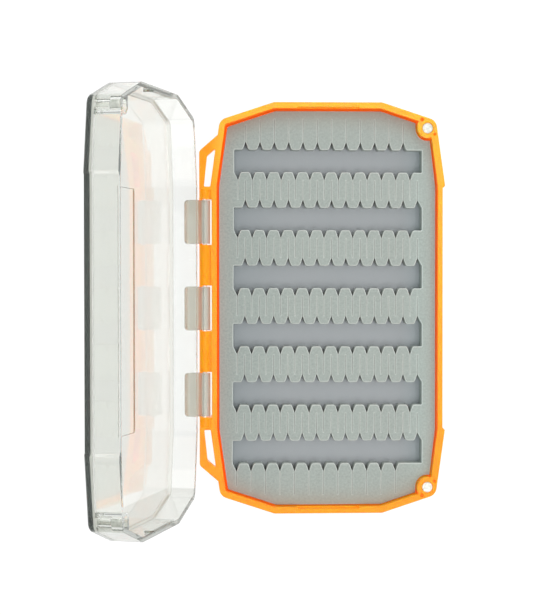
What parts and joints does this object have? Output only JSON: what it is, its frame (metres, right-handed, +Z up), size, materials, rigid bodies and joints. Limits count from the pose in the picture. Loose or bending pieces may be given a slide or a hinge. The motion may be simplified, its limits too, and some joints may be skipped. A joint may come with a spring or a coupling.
{
  "type": "fly box",
  "caption": "Slim hinged pocket case: clear lid with magnetic closure over a tray with die-cut slit foam, and lanyard loops beside the hinge.",
  "frame": {"origin": "centre of the tray's flat underside", "axes": "+Z up out of the tray, +Y along the hinge, +X from the hinge to the opening side"},
  "size_m": [0.1276, 0.152, 0.0952],
  "materials": {
    "tray_plastic": "satin, slightly translucent orange",
    "lid_plastic": "clear, glossy",
    "slit_foam": "fine closed-cell foam, matt",
    "backing_foam": "smooth closed-cell foam skin",
    "adhesive": "thin adhesive sheet",
    "magnet_plating": "nickel plated",
    "pin_steel": "drawn stainless wire"
  },
  "bodies": {
    "tray": {"tray": "tray_plastic", "hinge_pin": "pin_steel", "tray_magnet_upper": "magnet_plating", "tray_magnet_lower": "magnet_plating", "adhesive_sheet": "adhesive", "foam_backing": "backing_foam", "slit_foam": "slit_foam"},
    "lid": {"lid": "lid_plastic", "lid_magnet_upper": "magnet_plating", "lid_magnet_lower": "magnet_plating"}
  },
  "joints": [
    {"name": "lid_hinge", "type": "hinge", "parent": "tray", "child": "lid", "pos_m": [-0.0456, 0, 0.0105], "axis": [0, 1, 0], "range_deg": [0, 106.5]}
  ]
}
